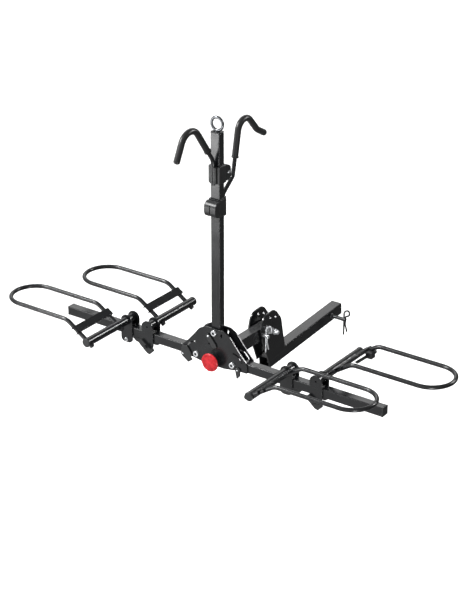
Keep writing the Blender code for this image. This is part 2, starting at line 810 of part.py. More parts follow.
def make_arm(side, fold, sign):
    reach = ARM_REACH[side]
    cap = 5 * MM
    end = reach - cap
    outer = rectangle(ARM, ARM, 4 * MM)
    inner = rectangle(ARM - 2 * ARM_WALL, ARM - 2 * ARM_WALL, 1.8 * MM)
    middle = at(sign * (ARM_INNER + end) / 2, 0, -ARM / 2)
    name = side + "_arm"
    arm = flat_piece(name, [outer, inner], end - ARM_INNER, middle, "side", material="steel", axis=fold)
    arm = as_mesh(arm)
    bore = drill(name + "_bore", BOLT + 2 * FIT, 2 * ARM, at(sign * ARM_PIVOT_X, 0, ARM_PIVOT_Z), (0, 1, 0))
    cut(arm, [bore])
    plug = ARM - 2 * ARM_WALL - 2 * FIT
    cap_piece = box(
        name + "_cap",
        (cap - FIT, ARM, ARM),
        at(sign * (end + FIT + (cap - FIT) / 2), 0, -ARM / 2),
        material="plastic",
        axis=fold,
    )
    plug_piece = box(
        name + "_plug",
        (16 * MM, plug - 4 * MM, plug - 4 * MM),
        at(sign * (end - 6 * MM), 0, -ARM / 2),
        collection="cutters",
    )
    join(cap_piece, [plug_piece])


def saddle_outline(foot):
    half = SADDLE_WIDTH / 2
    return rounded(
        [
            (-half, foot, 18 * MM),
            (half, foot, 18 * MM),
            (half, SADDLE_TOP, half - 1 * MM),
            (-half, SADDLE_TOP, half - 1 * MM),
        ],
        steps=4,
    )


def make_saddle(name, x, side, axis):
    """Two plates over the arm and a bridge on its top; the wheel tube leaves through one plate."""
    bolt_hole = circle(0, CLAMP_Z, CLAMP_BOLT / 2 + FIT, 12)
    tube_hole = circle(0, TUBE_AXIS, TUBE / 2 + FIT, 20)
    plates = {}
    for way, holes in ((side, [bolt_hole, tube_hole]), (-side, [bolt_hole])):
        spot = at(x, way * (SADDLE_IN + SADDLE_THICK / 2), 0)
        outline = saddle_outline(SADDLE_FOOT)
        plate = flat_piece(
            name + ("_saddle" if way == side else "_closed_plate"),
            [outline] + holes,
            SADDLE_THICK,
            spot,
            "front",
            material="steel",
            axis=axis,
        )
        plates[way] = as_mesh(plate)
    size = (SADDLE_WIDTH - 16 * MM, 2 * SADDLE_IN + 2 * MM, BRIDGE)
    bridge = box(name + "_bridge", size, at(x, 0, FIT + BRIDGE / 2), collection="cutters")
    join(plates[side], [bridge, plates[-side]])


def make_hoop(name, x, way, side, near, far, tip, axis):
    """The bent rod that holds a wheel, with the flat tread plate welded across its two rods."""
    run, rise = way * HOOP_RUN, HOOP_RISE
    slope = Vector((run, 0, rise)).normalized()
    foot = Vector((x, 0, TUBE_AXIS)) - slope * HOOP_TAIL
    level = TUBE_AXIS + rise
    bend_x = x + run
    end_radius = (far - near) / 2 - 0.5 * MM
    corners = []
    for y in (near, far):
        stretch = [(foot.x, side * y, foot.z, 0), (bend_x, side * y, level, 60 * MM)]
        stretch.append((tip - way * HOOP_ROD / 2, side * y, level, end_radius))
        corners += stretch if y == near else stretch[::-1]
    path = [point + PLATFORM for point in bent(corners, steps=6)]
    hoop = as_mesh(rod(name + "_hoop", path, HOOP_ROD, material="steel", axis=axis))
    lean = Vector((1, 0, 0)).rotation_difference(slope if way > 0 else -slope).to_matrix().to_4x4()
    spot = Vector((x, 0, TUBE_AXIS)) + slope * 66 * MM
    under = Vector((-slope.z * way, 0, abs(slope.x))) * (HOOP_ROD / 2 + TREAD_THICK / 2 - 1.5 * MM)
    tread_spot = spot + under + Vector((0, side * (near + far) / 2, 0))
    tread = box(
        name + "_tread",
        (TREAD_WIDTH, far - near + 2 * HOOP_ROD, TREAD_THICK),
        tread_spot + PLATFORM,
        turn=lean,
        collection="cutters",
    )
    join(hoop, [tread])
    return slope


def make_holder(name, fold_axis):
    x, way, side, tube_end, near, far, tip = HOLDERS[name]
    x, tube_end, near, far, tip = (value * MM for value in (x, tube_end, near, far, tip))
    axis = joint_axis(name + "_slide_axis", at(x, 0, 0), fold_axis)
    make_saddle(name, x, side, axis)
    inner_end = -(SADDLE_IN - FIT)
    cap = 6 * MM
    tube_stop = tube_end - cap
    tube = flat_piece(
        name + "_tube",
        [circle(0, 0, TUBE / 2, 20), circle(0, 0, TUBE / 2 - TUBE_WALL, 12)],
        tube_stop - inner_end,
        at(x, side * (tube_stop + inner_end) / 2, TUBE_AXIS),
        "front",
        material="steel",
        axis=axis,
    )
    tube = as_mesh(tube)
    slope = make_hoop(name, x, way, side, near, far, tip, axis)
    bores = []
    for place, y in (("near", near), ("far", far)):
        spot = at(x, side * y, TUBE_AXIS)
        bores.append(drill(f"{name}_{place}_bore", HOOP_ROD + 3 * FIT, 3 * TUBE, spot, slope, 12))
    cut(tube, bores)
    seat = at(x, side * (tube_stop + FIT), TUBE_AXIS)
    profile = [
        (0, cap),
        (TUBE / 2 - 1.5 * MM, cap),
        (TUBE / 2 + 1 * MM, cap - 2 * MM),
        (TUBE / 2 + 1 * MM, 0),
        (0, 0),
    ]
    facing = "front" if side < 0 else "back"
    turned(name + "_tube_cap", profile, seat, facing, steps=20, material="plastic", axis=axis)
    make_clamp(name, x, side, axis)


def make_clamp(name, x, side, axis):
    """The clamp bolt under the arm, and the T-ended lever that tightens it on the closed side."""
    face = SADDLE_IN + SADDLE_THICK + FIT
    facing = "front" if side < 0 else "back"
    lever_thick = 9 * MM
    length = 2 * face + lever_thick + FIT + 7 * MM
    bolt(
        name + "_clamp_bolt",
        16 * MM,
        5 * MM,
        CLAMP_BOLT,
        length,
        at(x, side * face, CLAMP_Z),
        facing,
        steps=16,
        nut=6 * MM,
        material="chrome",
        axis=axis,
    )
    pivot = at(x, -side * (face + lever_thick / 2), CLAMP_Z)
    lever_axis = joint_axis(name + "_lever_axis", pivot, axis)
    outline = rounded(
        [
            (-40 * MM, 10 * MM, 8 * MM),
            (-24 * MM, 27 * MM, 8 * MM),
            (20 * MM, -5 * MM, 5 * MM),
            (33 * MM, -1 * MM, 3 * MM),
            (36 * MM, -12 * MM, 3 * MM),
            (18 * MM, -30 * MM, 3 * MM),
            (4 * MM, -27 * MM, 5 * MM),
        ],
        steps=2,
    )
    flat_piece(
        name + "_clamp_lever",
        [outline, circle(0, 0, CLAMP_BOLT / 2 + FIT, 12)],
        lever_thick,
        pivot,
        "front",
        material="plastic",
        axis=lever_axis,
    )


def main():
    clear_scene()
    PARTS["parts"] = new_collection("hitch_bike_rack")
    PARTS["cutters"] = new_collection("cutters", hidden=True)
    for name, look in (
        ("steel", STEEL),
        ("chrome", CHROME),
        ("rubber", RUBBER),
        ("plastic", PLASTIC),
        ("red_lens", RED_LENS),
    ):
        PARTS[name] = new_material(name, **look)
    make_hitch()
    tilt = joint_axis("rack_tilt_axis", at(0, TILT_Y, TILT_Z))
    make_base(tilt)
    make_levers(tilt)
    fold = joint_axis("mast_fold_axis", at(0, 0, MAST_PIVOT_Z), tilt)
    make_mast(fold)
    make_hooks(fold)
    for side, sign in (("left", -1), ("right", 1)):
        arm_fold = joint_axis(side + "_arm_fold_axis", at(sign * ARM_PIVOT_X, 0, ARM_PIVOT_Z), tilt)
        make_arm(side, arm_fold, sign)
        for name in HOLDERS:
            if name.startswith(side):
                make_holder(name, arm_fold)


main()
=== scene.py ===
# %% [markdown]
# # A hitch mounted bike rack
#
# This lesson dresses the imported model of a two-bike platform rack. The frame gives every piece at its
# real place and size, in metres. We keep the shapes that are right, rebuild the ones that need rounder
# steel, and give each surface the finish of the real thing.

# %% Load the frame
import json
import math

import bmesh
import bpy
from mathutils import Matrix, Vector


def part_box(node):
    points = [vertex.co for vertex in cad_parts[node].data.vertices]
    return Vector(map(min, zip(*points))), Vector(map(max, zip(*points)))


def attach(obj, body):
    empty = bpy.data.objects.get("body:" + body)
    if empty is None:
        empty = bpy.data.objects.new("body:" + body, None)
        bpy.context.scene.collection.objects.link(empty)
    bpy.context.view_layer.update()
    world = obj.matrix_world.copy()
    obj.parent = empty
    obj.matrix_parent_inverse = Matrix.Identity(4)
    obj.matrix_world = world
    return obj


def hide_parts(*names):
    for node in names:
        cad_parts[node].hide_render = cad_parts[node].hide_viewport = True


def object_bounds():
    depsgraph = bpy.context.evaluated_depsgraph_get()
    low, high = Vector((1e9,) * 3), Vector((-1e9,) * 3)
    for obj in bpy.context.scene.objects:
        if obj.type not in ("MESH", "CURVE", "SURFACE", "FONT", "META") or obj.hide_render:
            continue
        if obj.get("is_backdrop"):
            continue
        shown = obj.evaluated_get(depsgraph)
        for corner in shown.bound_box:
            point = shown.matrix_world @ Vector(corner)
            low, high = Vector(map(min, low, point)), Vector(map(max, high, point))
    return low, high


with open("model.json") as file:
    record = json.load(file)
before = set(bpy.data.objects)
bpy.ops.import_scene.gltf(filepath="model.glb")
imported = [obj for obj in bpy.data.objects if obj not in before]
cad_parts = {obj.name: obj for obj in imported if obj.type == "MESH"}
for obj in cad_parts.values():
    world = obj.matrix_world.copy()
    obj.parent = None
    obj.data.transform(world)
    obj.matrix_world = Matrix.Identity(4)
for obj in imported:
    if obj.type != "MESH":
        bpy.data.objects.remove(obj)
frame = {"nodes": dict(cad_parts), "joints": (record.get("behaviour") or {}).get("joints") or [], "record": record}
CAD_BOX = [list(corner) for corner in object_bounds()]
MM = 0.001
JOINTS = {joint["name"]: joint for joint in frame["joints"]}
SLOTS = {row["node"]: row["material_slot"] for row in frame["record"]["subparts"]}
BODY_OF = {
    node: body
    for body, nodes in frame["record"]["behaviour"]["bodies"].items()
    for node in nodes
}
HOLDERS = ("left_front", "left_rear", "right_front", "right_rear")

# %% [markdown]
# ## Colours and one node helper
#
# Paint charts and colour pickers give sRGB hex values, and shaders work in linear light, so one function
# turns the first into the second. One more small function adds a node with its settings and its links,
# for shader trees and geometry trees alike.

# %% Helpers for nodes and colours
def linear(hex_colour):
    """An sRGB hex value as a linear colour with alpha."""
    shares = [int(hex_colour[n : n + 2], 16) / 255 for n in (1, 3, 5)]
    return [s / 12.92 if s <= 0.04045 else ((s + 0.055) / 1.055) ** 2.4 for s in shares] + [1.0]


def add(tree, kind, links=None, **settings):
    """Adds a node. links gives each input a value, or another node's output."""
    made = tree.nodes.new(kind)
    for key, value in settings.items():
        setattr(made, key, value)
    for socket, source in (links or {}).items():
        if isinstance(source, bpy.types.NodeSocket):
            tree.links.new(source, made.inputs[socket])
        else:
            made.inputs[socket].default_value = source
    return made


print("powder coat black in linear light:", [round(v, 4) for v in linear("#131416")[:3]])

# %% [markdown]
# ## Finishes
#
# Everything black on this rack is one of three things. The steel is powder coated: a plastic skin baked on
# as dust, which leaves a soft gloss with a fine orange-peel ripple. Caps, levers and sliders are moulded
# nylon, a little duller, with a spark-eroded grain. The hook sleeves are rubber. The small hardware is
# bright zinc plate or black oxide, the eye bolt is chrome, and the reflector is moulded red acrylic.
#
# All of them are the same recipe at different scales: a slow noise that varies colour and gloss, as dust
# and handling do, and a fine noise for the surface's own grain. Grain sizes are in millimetres.

# %% Finish recipe
def shader_of(material):
    return material.node_tree.nodes["Principled BSDF"]


def mix_colours(tree, share, dark, light):
    """A node that runs from one sRGB colour to another."""
    ends = {6: linear(dark), 7: linear(light)}
    return add(tree, "ShaderNodeMix", {0: share, **ends}, data_type="RGBA")


def map_range(tree, value, given, wanted):
    """A node that stretches one range of values onto another."""
    ends = {"From Min": given[0], "From Max": given[1], "To Min": wanted[0], "To Max": wanted[1]}
    return add(tree, "ShaderNodeMapRange", {"Value": value, **ends})


def finish(
    name, dark, light, rough, grain_mm, grain_depth, metallic=0.0, cloud_mm=60.0, coat=0.0
):
    """A material whose colour and gloss drift slowly, with a fine bump of the given grain."""
    made = bpy.data.materials.new(name)
    made.use_nodes = True
    tree = made.node_tree
    shader = shader_of(made)
    shader.inputs["Metallic"].default_value = metallic
    shader.inputs["Coat Weight"].default_value = coat
    shader.inputs["Coat Roughness"].default_value = 0.12
    place = add(tree, "ShaderNodeTexCoord").outputs["Object"]
    cloud, grain = (
        add(
            tree,
            "ShaderNodeTexNoise",
            {"Vector": place, "Scale": 1000 / size_mm, "Detail": detail},
        )
        for size_mm, detail in ((cloud_mm, 4.0), (grain_mm, 3.0))
    )
    tint = mix_colours(tree, cloud.outputs["Fac"], dark, light)
    gloss = map_range(tree, cloud.outputs["Fac"], (0.3, 0.7), rough)
    bump = add(
        tree,
        "ShaderNodeBump",
        {"Height": grain.outputs["Fac"], "Strength": 0.5, "Distance": grain_depth * MM},
    )
    tree.links.new(tint.outputs[2], shader.inputs["Base Color"])
    tree.links.new(gloss.outputs["Result"], shader.inputs["Roughness"])
    tree.links.new(bump.outputs["Normal"], shader.inputs["Normal"])
    return made


FINISHES = {
    # Baked polyester powder: satin, with a ripple about 3 mm across.
    "powder_coat": finish(
        "satin_black_powder_coat", "#0c0d0e", "#131416", (0.20, 0.28), 3.0, 0.05
    ),
    # Zinc plate over turned steel: bright, faintly cloudy.
    "zinc_chrome": finish(
        "bright_zinc_plate", "#c2c4c7", "#dcdee0", (0.16, 0.26), 1.2, 0.02, 0.72, 20.0
    ),
    # Rubber sleeve: dull, its skin slightly stippled.
    "grip_rubber": finish("black_rubber_sleeve", "#121213", "#1a1a1b", (0.30, 0.40), 1.4, 0.10),
    # Glass filled nylon: spark-eroded mould grain, about 1 mm.
    "black_plastic": finish("moulded_black_nylon", "#101112", "#191a1b", (0.36, 0.48), 1.0, 0.06),
    # Moulded acrylic: deep clear red with a hard gloss, with a painted glow added below.
    "red_lens": finish(
        "red_acrylic_lens_with_painted_glow", "#7c0c14", "#98141c", (0.12, 0.22), 2.0, 0.02, 0.0, 30.0, 0.3
    ),
}
# Chrome on the eye bolt, rough enough to blur what it mirrors.
CHROME = finish("polished_chrome", "#66686b", "#7d7f82", (0.20, 0.28), 1.2, 0.01, 1.0, 20.0)
# Its rim turns darker, where it reflects at a low angle.
shader_of(CHROME).inputs["Specular Tint"].default_value = linear("#4c4e52")
# Oiled black wire and pins that aren't plated.
DARK_WIRE = finish("black_oxide_steel", "#161718", "#222325", (0.26, 0.36), 1.2, 0.02, 0.3, 20.0)
# Painted shade: a near black, unreflective colour laid where the inside of a hole would be in shade.
HOLE_SHADE_PAINT = finish("painted_shade_of_holes", "#08080a", "#101012", (0.5, 0.7), 1.0, 0.05)
shader_of(HOLE_SHADE_PAINT).inputs["Specular IOR Level"].default_value = 0.05


def paint_glow(material, dark, light, cell_mm, strength):
    """Painted glow: emission in a cell pattern of its own colour, standing in for the light a reflector returns.
    """
    tree = material.node_tree
    shader = shader_of(material)
    place = add(tree, "ShaderNodeTexCoord").outputs["Object"]
    cells = add(tree, "ShaderNodeTexVoronoi", {"Vector": place, "Scale": 1000 / cell_mm})
    shade = map_range(tree, cells.outputs["Color"], (0.2, 0.8), (0.0, 1.0))
    tint = mix_colours(tree, shade.outputs["Result"], dark, light)
    tree.links.new(tint.outputs[2], shader.inputs["Emission Color"])
    shader.inputs["Emission Strength"].default_value = strength


# The lens gets a painted glow: a faint emission, though it is no lamp.
paint_glow(FINISHES["red_lens"], "#7a0a12", "#ea2c32", 9.0, 0.34)
print(len(FINISHES), "finishes, named by the record's slots")

# %% [markdown]
# ## Keeping a CAD shape, with broken edges
#
# Laser-cut plate and rolled tube never have knife edges: the edge is dressed and the powder pulls back
# into a soft radius, which catches light as a thin bright line. Most CAD nodes have the right shape
# already, so a copy of each is welded, its flat faces are joined up, and a narrow bevel runs along every
# real edge.

# %% Welded and bevelled copies
def place_piece(obj, body, slot_name, material=None):
    """Links a finished piece, lets it ride on its body and gives it a finish."""
    if obj.name not in bpy.context.scene.collection.objects:
        bpy.context.scene.collection.objects.link(obj)
    if material or not obj.data.materials:
        obj.data.materials.clear()
        obj.data.materials.append(material or FINISHES[slot_name])
    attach(obj, body)
    return obj


def smooth(mesh, degrees=32):
    """Smooth shading, except across the real edges."""
    mesh.shade_smooth()
    mesh.set_sharp_from_angle(angle=math.radians(degrees))


def evaluated_mesh(obj):
    """The mesh of obj with its modifiers applied."""
    bpy.context.view_layer.update()
    evaluated = obj.evaluated_get(bpy.context.evaluated_depsgraph_get())
    return bpy.data.meshes.new_from_object(evaluated)


def baked(obj, edge_mm, steps=2):
    """Breaks the real edges of obj and keeps its flat faces flat, then makes that its mesh."""
    obj.data.shade_smooth()
    if edge_mm:
        bevel = obj.modifiers.new("broken_edges", "BEVEL")
        bevel.width = edge_mm * MM
        bevel.segments = steps
        bevel.limit_method = "ANGLE"
        bevel.angle_limit = math.radians(30)
        bevel.miter_outer = "MITER_ARC"
    flat = obj.modifiers.new("flat_faces", "WEIGHTED_NORMAL")
    flat.weight = 100
    obj.data = evaluated_mesh(obj)
    obj.modifiers.clear()
    return obj


def dressed(node, edge_mm, steps=2):
    """A copy of a CAD node with its edges broken, standing for that node."""
    mesh = frame["nodes"][node].data.copy()
    shape = bmesh.new()
    shape.from_mesh(mesh)
    bmesh.ops.remove_doubles(shape, verts=shape.verts, dist=0.00002)
    bmesh.ops.dissolve_limit(
        shape, angle_limit=math.radians(1.0), verts=shape.verts, edges=shape.edges
    )
    shape.to_mesh(mesh)
    shape.free()
    mesh.materials.clear()
    piece = bpy.data.objects.new(node + "_finished", mesh)
    bpy.context.scene.collection.objects.link(piece)
    place_piece(baked(piece, edge_mm, steps), BODY_OF[node], SLOTS[node])
    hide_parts(node)
    return piece


PLATES = ["ear_left", "ear_right", "bracket_front", "bracket_rear"]
PLATES += [holder + "_saddle" for holder in HOLDERS]
BARS = ["shank", "base_arm", "mast", "left_arm", "right_arm"]
for node in PLATES + BARS:
    dressed(node, 0.9)
MOULDED = ["left_arm_cap", "right_arm_cap", "mast_cap", "reflector_housing"]
MOULDED += ["front_slider", "rear_slider", "front_release", "rear_release"]
MOULDED += ["mast_lock_lever", "left_arm_lever", "right_arm_lever"]
MOULDED += [holder + part for holder in HOLDERS for part in ("_clamp_lever", "_tube_cap")]
for node in MOULDED:
    dressed(node, 1.2, 3)
ROUNDS = [holder + "_tube" for holder in HOLDERS]
ROUNDS += ["hitch_pin", "tilt_pin", "pivot_bolt", "pivot_nut", "pivot_lock_nut"]
for node in ROUNDS:
    dressed(node, 0.5)
BOLTS = ["mast_bolt", "left_arm_bolt", "right_arm_bolt"]
BOLTS += [holder + "_clamp_bolt" for holder in HOLDERS]
for node in BOLTS:
    dressed(node, 0.6)
print("dressed", len(PLATES + BARS + MOULDED + ROUNDS + BOLTS), "pieces")

# %% [markdown]
# ## Bent rod, by Geometry Nodes
#
# The hoops, hooks and clips are round steel rod bent round formers. The rule is simple: a few corner
# points, a bend radius at each, and a rod swept along the result. That is a job for Geometry Nodes: the
# corners come in as a mesh of edges with a radius stored on each point, the Fillet node makes the bends,
# and Curve to Mesh sweeps the section. Facets on the rod are then far below what the eye finds.

# %% The bent rod tree
def start_tree(name, inputs):
    """A geometry tree with a geometry input and named sizes, and its two ends."""
    tree = bpy.data.node_groups.new(name, "GeometryNodeTree")
    tree.interface.new_socket("Geometry", in_out="INPUT", socket_type="NodeSocketGeometry")
    for label, kind, value in inputs:
        socket = tree.interface.new_socket(label, in_out="INPUT", socket_type=kind)
        if value is not None:
            socket.default_value = value
    tree.interface.new_socket("Geometry", in_out="OUTPUT", socket_type="NodeSocketGeometry")
    return tree, add(tree, "NodeGroupInput").outputs


def end_tree(tree, geometry, given):
    """Every tree ends the same way: real geometry, with its material."""
    real = add(tree, "GeometryNodeRealizeInstances", {"Geometry": geometry})
    painted = add(
        tree,
        "GeometryNodeSetMaterial",
        {"Geometry": real.outputs[0], "Material": given["Material"]},
    )
    add(tree, "NodeGroupOutput", {"Geometry": painted.outputs[0]})
    return tree


def bent_rod_tree():
    """A round section swept along edges, with a bend at each corner."""
    tree, given = start_tree(
        "bent_rod",
        [
            ("Diameter", "NodeSocketFloat", 0.016),
            ("Sides", "NodeSocketInt", 20),
            ("Material", "NodeSocketMaterial", None),
        ],
    )
    line = add(tree, "GeometryNodeMeshToCurve", {"Mesh": given["Geometry"]})
    bend = add(tree, "GeometryNodeInputNamedAttribute", {"Name": "bend"}, data_type="FLOAT")
    filleted = add(
        tree,
        "GeometryNodeFilletCurve",
        {
            "Curve": line.outputs[0],
            "Count": 12,
            "Radius": bend.outputs["Attribute"],
            "Limit Radius": True,
        },
        mode="POLY",
    )
    radius = add(tree, "ShaderNodeMath", {0: given["Diameter"], 1: 0.5}, operation="MULTIPLY")
    ring = add(
        tree,
        "GeometryNodeCurvePrimitiveCircle",
        {"Resolution": given["Sides"], "Radius": radius.outputs[0]},
    )
    swept = add(
        tree,
        "GeometryNodeCurveToMesh",
        {"Curve": filleted.outputs[0], "Profile Curve": ring.outputs[0], "Fill Caps": True},
    )
    merged = add(
        tree, "GeometryNodeMergeByDistance", {"Geometry": swept.outputs[0], "Distance": 0.00001}
    )
    return end_tree(tree, merged.outputs[0], given)


BENT_ROD = bent_rod_tree()


def run_tree(name, mesh, tree, sizes):
    """Runs a geometry tree on a mesh and returns the plain mesh object that it makes."""
    guide = bpy.data.objects.new(name + "_guide", mesh)
    bpy.context.scene.collection.objects.link(guide)
    step = guide.modifiers.new("make", "NODES")
    step.node_group = tree
    inputs = [item for item in tree.interface.items_tree if item.in_out == "INPUT"]
    sockets = {item.name: item.identifier for item in inputs}
    for label, value in sizes.items():
        step[sockets[label]] = value
    made = evaluated_mesh(guide)
    made.name = name
    bpy.data.objects.remove(guide, do_unlink=True)
    smooth(made)
    obj = bpy.data.objects.new(name, made)
    bpy.context.scene.collection.objects.link(obj)
    return obj


def facing_out(obj):
    """Turns the faces outwards, which a sweep along a path may have inside out."""
    shape = bmesh.new()
    shape.from_mesh(obj.data)
    bmesh.ops.recalc_face_normals(shape, faces=shape.faces)
    shape.to_mesh(obj.data)
    shape.free()
    smooth(obj.data)
    return obj


def bent_rod(name, corners, diameter, material, sides=20):
    """A rod through corners (x, y, z, bend radius)."""
    mesh = bpy.data.meshes.new(name + "_corners")
    links = [(n, n + 1) for n in range(len(corners) - 1)]
    mesh.from_pydata([corner[:3] for corner in corners], links, [])
    bend = mesh.attributes.new("bend", "FLOAT", "POINT")
    bend.data.foreach_set("value", [corner[3] for corner in corners])
    sizes = {"Diameter": diameter, "Sides": sides, "Material": material}
    return facing_out(run_tree(name, mesh, BENT_ROD, sizes))


print("bent_rod tree has", len(BENT_ROD.nodes), "nodes")

# %% [markdown]
# ## Wheel hoops
#
# Each wheel stands in a hoop: one rod, bent up out of its cross tube, then level, then round a half circle
# and back. Its two feet pass through the tube, with a nut below. The frame's box for the hoop gives its
# level, its rods' places and its tip, and the bends' run, rise and radius are given as numbers.

# %% Hoops
HOOP_ROD = 16 * MM
# The photo's rods look a little thicker than their nominal size.
HOOP_LOOK = 1.08 * HOOP_ROD
HOOP_RUN = 105 * MM
HOOP_RISE = 68 * MM
HOOP_BEND = 60 * MM
# How far a foot reaches past the tube's middle, down the slope.
HOOP_FOOT = 27 * MM


def hoop_facts(holder):
    """Where a hoop stands: tube middle, way it points, its rods' distances and its level."""
    low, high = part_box(holder + "_hoop")
    tube_low, tube_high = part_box(holder + "_tube")
    way = -1 if holder.startswith("left") else 1
    return {
        "x": (tube_low.x + tube_high.x) / 2,
        "tube_z": (tube_low.z + tube_high.z) / 2,
        "way": way,
        "rods": (low.y + HOOP_ROD, high.y - HOOP_ROD),
        "level": high.z - HOOP_ROD / 2,
        "tip": low.x + HOOP_ROD / 2 if way < 0 else high.x - HOOP_ROD / 2,
    }


def make_hoop(holder):
    facts = hoop_facts(holder)
    slope = Vector((facts["way"] * HOOP_RUN, 0, HOOP_RISE)).normalized()
    foot = Vector((facts["x"], 0, facts["tube_z"])) - slope * HOOP_FOOT
    bend_x = facts["x"] + facts["way"] * HOOP_RUN
    near, far = facts["rods"]
    end = (far - near) / 2 - 0.2 * MM
    corners = []
    for y in (near, far):
        stretch = [
            (foot.x, y, foot.z, 0),
            (bend_x, y, facts["level"], HOOP_BEND),
            (facts["tip"], y, facts["level"], end),
        ]
        corners += stretch if y == near else stretch[::-1]
    hoop = bent_rod(holder + "_hoop_rod", corners, HOOP_LOOK, FINISHES["powder_coat"], 24)
    place_piece(hoop, holder + "_holder", "powder_coat")
    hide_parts(holder + "_hoop")
    return facts, slope


HOOP_FACTS = {holder: make_hoop(holder) for holder in HOLDERS}
for holder, (facts, _) in HOOP_FACTS.items():
    print(holder, "hoop level at", round(facts["level"], 3), "m")

# %% [markdown]
# ## Small solids
#
# The pieces that the frame doesn't hold, or holds more plainly, are made from a few simple shapes: a flat
# outline with a thickness, a block, and several of them joined as one mesh with its edges broken.

# %% Solids from simple shapes
def solid(name, shape, place=None):
    """Turns a bmesh into an object, standing at a place."""
    mesh = bpy.data.meshes.new(name)
    shape.to_mesh(mesh)
    shape.free()
    made = bpy.data.objects.new(name, mesh)
    made.matrix_world = place or Matrix.Identity(4)
    return made


def stood(spot, way):
    """The place of a shape at spot with its Z turned to one way."""
    return Matrix.Translation(spot) @ Vector(way).to_track_quat("Z", "Y").to_matrix().to_4x4()


def extruded(name, outline, thick):
    """A flat outline given a thickness along its own Z, as a mesh with welded corners."""
    shape = bmesh.new()
    bottom = [shape.verts.new((x, y, -thick / 2)) for x, y in outline]
    face = shape.faces.new(bottom)
    top = bmesh.ops.extrude_face_region(shape, geom=[face])["geom"]
    moved = [item for item in top if isinstance(item, bmesh.types.BMVert)]
    bmesh.ops.translate(shape, verts=moved, vec=(0, 0, thick))
    bmesh.ops.recalc_face_normals(shape, faces=shape.faces)
    return solid(name, shape)


def joined(name, pieces, edge_mm, material=None):
    """Several solids as one mesh with their places applied and their edges broken."""
    shape = bmesh.new()
    for piece in pieces:
        mesh = piece.data
        mesh.transform(piece.matrix_world)
        if piece.matrix_world.determinant() < 0:
            mesh.flip_normals()
        shape.from_mesh(mesh)
        bpy.data.objects.remove(piece, do_unlink=True)
    obj = solid(name, shape)
    bpy.context.scene.collection.objects.link(obj)
    if edge_mm:
        baked(obj, edge_mm)
    else:
        smooth(obj.data)
    if material:
        obj.data.materials.clear()
        obj.data.materials.append(material)
    return obj


def slab(size, spot, turn=None):
    """A block of a given size about a spot."""
    shape = bmesh.new()
    bmesh.ops.create_cube(shape, size=1)
    bmesh.ops.scale(shape, vec=size, verts=shape.verts)
    return solid("slab", shape, Matrix.Translation(spot) @ (turn or Matrix.Identity(4)))


print("five small helpers for solids")

# %% [markdown]
# ## Tread plates
#
# A short channel is welded across the two rods where they climb out of the tube. The tyre rests on it, and
# the tie-down strap wraps round it. It is pressed from 3 mm sheet: a flat web with two flanges, and each
# flange ends in a lug that hangs beside its rod. We draw one flange as a flat outline, give it a wall,
# and lay the web between the two.

# %% Channels
TREAD = 32 * MM
TREAD_UP = 66 * MM
SHEET = 3 * MM
FLANGE = 9 * MM
LUG = 17 * MM
LUG_WIDTH = 13 * MM
# Stands the flange's drawing plane across the slope.
UPRIGHT = Matrix(((0, 0, 1, 0), (1, 0, 0, 0), (0, 1, 0, 0), (0, 0, 0, 1)))


def flange_outline(length, deep, shallow, end):
    """A flange seen from the side: shallow between the rods, with a deeper lug at each end."""
    half = length / 2
    left = [(-half, 0), (-half, -deep), (-half + end, -deep), (-half + 1.3 * end, -shallow)]
    return left + [(-x, y) for x, y in reversed(left)]


def make_tread(holder):
    facts, slope = HOOP_FACTS[holder]
    near, far = facts["rods"]
    length = far - near + 2 * HOOP_ROD - 1 * MM
    along = slope * facts["way"]
    normal = Vector((0, 1, 0)).cross(along).normalized()
    normal = normal if normal.z > 0 else -normal
    centre = Vector((facts["x"], (near + far) / 2, facts["tube_z"])) + slope * TREAD_UP
    web_spot = centre + normal * (HOOP_ROD / 2 + SHEET / 2)
    turn = Matrix((along, (0, 1, 0), normal)).transposed().to_4x4()
    pieces = [slab((TREAD, length, SHEET), web_spot, turn)]
    for side in (-1, 1):
        flange = extruded("flange", flange_outline(length, LUG, FLANGE, LUG_WIDTH), SHEET)
        offset = Matrix.Translation((side * (TREAD / 2 - SHEET / 2 + 0.1 * MM), 0, SHEET / 2))
        flange.matrix_world = Matrix.Translation(web_spot) @ turn @ offset @ UPRIGHT
        pieces.append(flange)
    tread = joined(holder + "_tread", pieces, 0.6, FINISHES["powder_coat"])
    return place_piece(tread, holder + "_holder", "powder_coat")


for holder in HOLDERS:
    make_tread(holder)
print("four pressed channels")

# %% [markdown]
# ## The strap buckle
#
# The photo shows one tie-down buckle, hung on the outer flange of the right rear tread: a moulded block, a
# round thumb knob on its far side and the flat tongue that the strap runs along. Two blocks make the body
# and the tongue, which leans a little, and a short cone turned on its side makes the knob.

# %% Strap buckle
BUCKLE = Vector((549, -548, 195)) * MM
BUCKLE_SIZE = Vector((28, 28, 26)) * MM
TONGUE = Vector((13, 84, 7)) * MM


def thumb_knob(radius, length, spot):
    """A short cone along Y, a little narrower at its far end."""
    shape = bmesh.new()
    bmesh.ops.create_cone(
        shape, cap_ends=True, segments=24, radius1=radius, radius2=0.86 * radius, depth=length
    )
    bmesh.ops.rotate(shape, verts=shape.verts, matrix=Matrix.Rotation(-math.pi / 2, 3, "X"))
    return solid("thumb_knob", shape, Matrix.Translation(spot))


block = slab(BUCKLE_SIZE, BUCKLE)
knob = thumb_knob(9 * MM, 18 * MM, BUCKLE + Vector((4, 22, 3)) * MM)
lean = Matrix.Rotation(math.radians(-7), 4, "Z") @ Matrix.Rotation(math.radians(3), 4, "X")
tongue = slab(TONGUE, BUCKLE - Vector((7, 38, 3)) * MM, lean)
nylon = FINISHES["black_plastic"]
buckle = joined("right_rear_strap_buckle", [block, knob, tongue], 1.6, nylon)
place_piece(buckle, "right_rear_holder", "black_plastic", nylon)
print("one strap buckle")

# %% [markdown]
# ## Foot nuts, scattered by Geometry Nodes
#
# Under each cross tube the rod's foot shows a short threaded end with a nut. Eight times the same nut calls
# for Instance on Points: the points are the rods' feet, turned to the slope of the rod.

